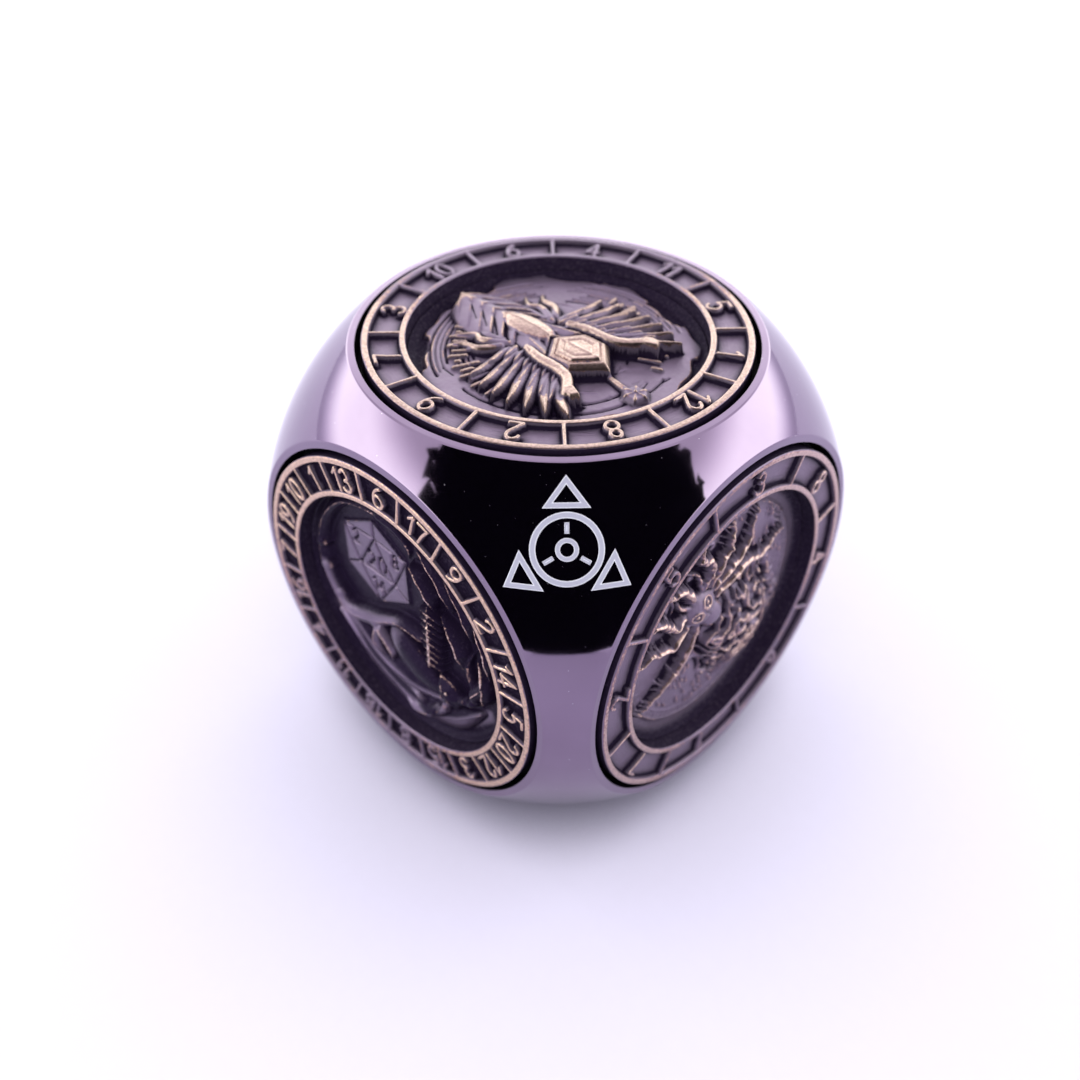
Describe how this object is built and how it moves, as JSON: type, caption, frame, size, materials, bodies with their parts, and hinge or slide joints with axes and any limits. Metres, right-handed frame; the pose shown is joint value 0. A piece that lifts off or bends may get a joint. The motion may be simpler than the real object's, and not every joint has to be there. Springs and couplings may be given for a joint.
{
  "type": "polyhedral spinner die",
  "caption": "Rounded-cube metal die with a numbered dial spinning on a ball bearing in each face, read against an index mark on the body's corner.",
  "frame": {"origin": "centre of the die, where the axes of all six dials meet", "axes": "+Z out of the twelve-cell dial, -Y out of the twenty-cell dial, +X out of the eight-cell dial; it rests on the ten-cell dial, facing -Z"},
  "size_m": [0.04, 0.04, 0.04],
  "materials": {
    "gunmetal_plating": "polished",
    "aged_brass": "satin",
    "dark_brass": "satin",
    "bearing_steel": "polished",
    "cage_steel": "polished"
  },
  "bodies": {
    "body": {"body": "gunmetal_plating", "outer_race_d12": "bearing_steel", "outer_race_d20": "bearing_steel", "outer_race_d8": "bearing_steel", "outer_race_d10": "bearing_steel", "outer_race_d6": "bearing_steel", "outer_race_d4": "bearing_steel"},
    "dial_d12": {"dial_d12": "aged_brass", "medallion_d12": "dark_brass", "inner_race_d12": "bearing_steel"},
    "ball_cage_d12": {"ball_cage_d12": "cage_steel"},
    "dial_d20": {"dial_d20": "aged_brass", "medallion_d20": "dark_brass", "inner_race_d20": "bearing_steel"},
    "ball_cage_d20": {"ball_cage_d20": "cage_steel"},
    "dial_d8": {"dial_d8": "aged_brass", "medallion_d8": "dark_brass", "inner_race_d8": "bearing_steel"},
    "ball_cage_d8": {"ball_cage_d8": "cage_steel"},
    "dial_d10": {"dial_d10": "aged_brass", "medallion_d10": "dark_brass", "inner_race_d10": "bearing_steel"},
    "ball_cage_d10": {"ball_cage_d10": "cage_steel"},
    "dial_d6": {"dial_d6": "aged_brass", "medallion_d6": "dark_brass", "inner_race_d6": "bearing_steel"},
    "ball_cage_d6": {"ball_cage_d6": "cage_steel"},
    "dial_d4": {"dial_d4": "aged_brass", "medallion_d4": "dark_brass", "inner_race_d4": "bearing_steel"},
    "ball_cage_d4": {"ball_cage_d4": "cage_steel"}
  },
  "joints": [
    {"name": "dial_d12_spin", "type": "hinge", "parent": "body", "child": "dial_d12", "pos_m": [0, 0, 0], "axis": [0, 0, 1], "continuous": true},
    {"name": "ball_cage_d12_spin", "type": "hinge", "parent": "body", "child": "ball_cage_d12", "pos_m": [0, 0, 0], "axis": [0, 0, 1], "continuous": true},
    {"name": "dial_d20_spin", "type": "hinge", "parent": "body", "child": "dial_d20", "pos_m": [0, 0, 0], "axis": [0, -1, 0], "continuous": true},
    {"name": "ball_cage_d20_spin", "type": "hinge", "parent": "body", "child": "ball_cage_d20", "pos_m": [0, 0, 0], "axis": [0, -1, 0], "continuous": true},
    {"name": "dial_d8_spin", "type": "hinge", "parent": "body", "child": "dial_d8", "pos_m": [0, 0, 0], "axis": [1, 0, 0], "continuous": true},
    {"name": "ball_cage_d8_spin", "type": "hinge", "parent": "body", "child": "ball_cage_d8", "pos_m": [0, 0, 0], "axis": [1, 0, 0], "continuous": true},
    {"name": "dial_d10_spin", "type": "hinge", "parent": "body", "child": "dial_d10", "pos_m": [0, 0, 0], "axis": [0, 0, -1], "continuous": true},
    {"name": "ball_cage_d10_spin", "type": "hinge", "parent": "body", "child": "ball_cage_d10", "pos_m": [0, 0, 0], "axis": [0, 0, -1], "continuous": true},
    {"name": "dial_d6_spin", "type": "hinge", "parent": "body", "child": "dial_d6", "pos_m": [0, 0, 0], "axis": [-1, 0, 0], "continuous": true},
    {"name": "ball_cage_d6_spin", "type": "hinge", "parent": "body", "child": "ball_cage_d6", "pos_m": [0, 0, 0], "axis": [-1, 0, 0], "continuous": true},
    {"name": "dial_d4_spin", "type": "hinge", "parent": "body", "child": "dial_d4", "pos_m": [0, 0, 0], "axis": [0, 1, 0], "continuous": true},
    {"name": "ball_cage_d4_spin", "type": "hinge", "parent": "body", "child": "ball_cage_d4", "pos_m": [0, 0, 0], "axis": [0, 1, 0], "continuous": true}
  ],
  "couplings": [
    {"joint": "ball_cage_d12_spin", "follows": "dial_d12_spin", "ratio": 0.3947},
    {"joint": "ball_cage_d20_spin", "follows": "dial_d20_spin", "ratio": 0.3947},
    {"joint": "ball_cage_d8_spin", "follows": "dial_d8_spin", "ratio": 0.3947},
    {"joint": "ball_cage_d10_spin", "follows": "dial_d10_spin", "ratio": 0.3947},
    {"joint": "ball_cage_d6_spin", "follows": "dial_d6_spin", "ratio": 0.3947},
    {"joint": "ball_cage_d4_spin", "follows": "dial_d4_spin", "ratio": 0.3947}
  ]
}
